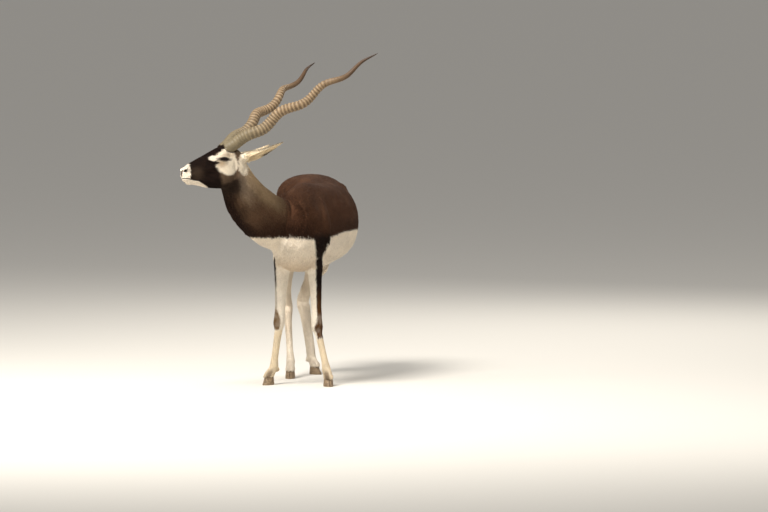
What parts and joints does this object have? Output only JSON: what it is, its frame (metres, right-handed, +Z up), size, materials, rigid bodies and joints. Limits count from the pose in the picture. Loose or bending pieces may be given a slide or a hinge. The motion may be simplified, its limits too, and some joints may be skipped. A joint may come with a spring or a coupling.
{
  "type": "blackbuck",
  "caption": "Life-size standing male blackbuck with its neck bent aside, head in profile and long ringed spiral horns swept back.",
  "frame": {"origin": "centre of the bounding box, on the floor the hooves stand on", "axes": "+Z up, the chest faces -Y, the animal's left side is towards +X"},
  "size_m": [0.7378, 1.1308, 1.2917],
  "materials": {
    "coat_dark": "short dark chocolate-brown hair",
    "coat_neck": "short grey-brown hair",
    "coat_pale": "short cream-white hair",
    "horn": "ridged keratin, grey-brown",
    "hoof": "dark keratin",
    "eye": "wet dark brown eye"
  },
  "bodies": {
    "root": {"torso": "coat_dark", "neck": "coat_neck", "head": "coat_dark", "tail": "coat_pale", "foreleg_left": "coat_pale", "foreleg_right": "coat_pale", "hindleg_left": "coat_pale", "hindleg_right": "coat_pale", "ear_left": "coat_pale", "ear_right": "coat_pale", "horn_left": "horn", "horn_right": "horn", "eye_left": "eye", "eye_right": "eye", "hoof_fore_left_left": "hoof", "hoof_fore_left_right": "hoof", "hoof_fore_right_left": "hoof", "hoof_fore_right_right": "hoof", "hoof_hind_left_left": "hoof", "hoof_hind_left_right": "hoof", "hoof_hind_right_left": "hoof", "hoof_hind_right_right": "hoof"}
  },
  "joints": []
}
